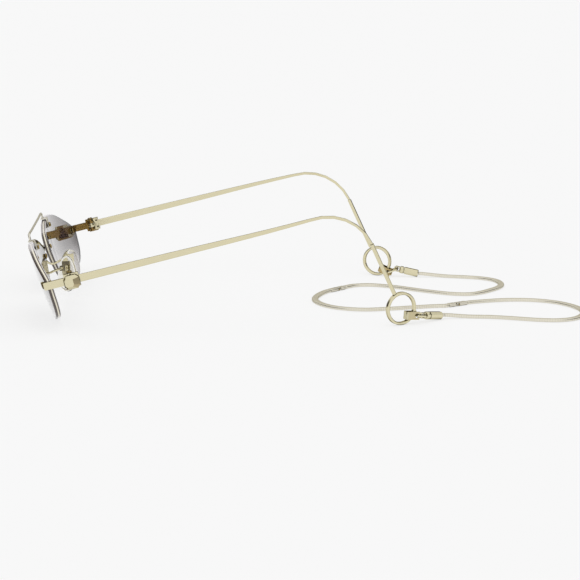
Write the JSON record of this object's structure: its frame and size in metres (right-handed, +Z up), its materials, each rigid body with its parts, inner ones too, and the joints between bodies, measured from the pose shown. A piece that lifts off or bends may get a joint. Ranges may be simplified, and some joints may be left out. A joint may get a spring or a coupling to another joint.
{
  "type": "sunglasses",
  "caption": "Rimless tinted sunglasses with thin gold temples, clear nose pads and a flat neck chain clipped to rings on the temple tips.",
  "frame": {"origin": "on the surface that the sunglasses stand on, below the middle of the sunglasses without their chain", "axes": "+Z up, the lenses face -Y, +X is the wearer's left"},
  "size_m": [0.1434, 0.2294, 0.0457],
  "materials": {
    "gold_metal": "polished pale gold plating",
    "chain_metal": "satin pale gold plating, fine scales",
    "screw_metal": "polished",
    "lens_tint": "clear grey-violet tint, polished edge",
    "pad_clear": "clear, slightly frosted"
  },
  "bodies": {
    "front": {"bridge": "gold_metal", "top_bar": "gold_metal", "left_lens": "lens_tint", "left_bridge_screw": "screw_metal", "left_bridge_nut": "screw_metal", "left_top_bar_screw": "screw_metal", "left_top_bar_nut": "screw_metal", "left_endpiece_screw": "screw_metal", "left_endpiece_nut": "screw_metal", "left_endpiece": "gold_metal", "left_hinge_cover": "gold_metal", "left_hinge_screw": "screw_metal", "left_pad_arm": "gold_metal", "left_pad_screw": "screw_metal", "right_lens": "lens_tint", "right_bridge_screw": "screw_metal", "right_bridge_nut": "screw_metal", "right_top_bar_screw": "screw_metal", "right_top_bar_nut": "screw_metal", "right_endpiece_screw": "screw_metal", "right_endpiece_nut": "screw_metal", "right_endpiece": "gold_metal", "right_hinge_cover": "gold_metal", "right_hinge_screw": "screw_metal", "right_pad_arm": "gold_metal", "right_pad_screw": "screw_metal", "left_connector_fork": "chain_metal", "left_connector_tongue": "chain_metal", "left_connector_pin": "screw_metal", "right_connector_fork": "chain_metal", "right_connector_tongue": "chain_metal", "right_connector_pin": "screw_metal", "right_chain": "chain_metal", "middle_chain": "chain_metal", "left_chain": "chain_metal"},
    "left_temple_assembly": {"left_temple": "gold_metal", "left_tip_sleeve": "gold_metal", "left_tip_ring": "gold_metal", "left_clip": "gold_metal", "left_link": "gold_metal", "left_end_cap": "gold_metal"},
    "right_temple_assembly": {"right_temple": "gold_metal", "right_tip_sleeve": "gold_metal", "right_tip_ring": "gold_metal", "right_clip": "gold_metal", "right_link": "gold_metal", "right_end_cap": "gold_metal"},
    "left_pad_assembly": {"left_nose_pad": "pad_clear", "left_pad_insert": "gold_metal"},
    "right_pad_assembly": {"right_nose_pad": "pad_clear", "right_pad_insert": "gold_metal"}
  },
  "joints": [
    {"name": "left_temple_hinge", "type": "hinge", "parent": "front", "child": "left_temple_assembly", "pos_m": [0.06675, -0.05764, 0.02137], "axis": [0, -0.24, 0.9708], "range_deg": [0, 90], "deforming": ["left_chain", "middle_chain"]},
    {"name": "right_temple_hinge", "type": "hinge", "parent": "front", "child": "right_temple_assembly", "pos_m": [-0.06675, -0.05764, 0.02137], "axis": [0, 0.24, -0.9708], "range_deg": [0, 85], "deforming": ["right_chain"]},
    {"name": "left_pad_rock", "type": "hinge", "parent": "front", "child": "left_pad_assembly", "pos_m": [0.01062, -0.0645, 0.01556], "axis": [0.3659, 0.9264, 0.0888], "range_deg": [-8, 8]},
    {"name": "right_pad_rock", "type": "hinge", "parent": "front", "child": "right_pad_assembly", "pos_m": [-0.01062, -0.0645, 0.01556], "axis": [0.3659, -0.9264, -0.0888], "range_deg": [-8, 8]}
  ]
}
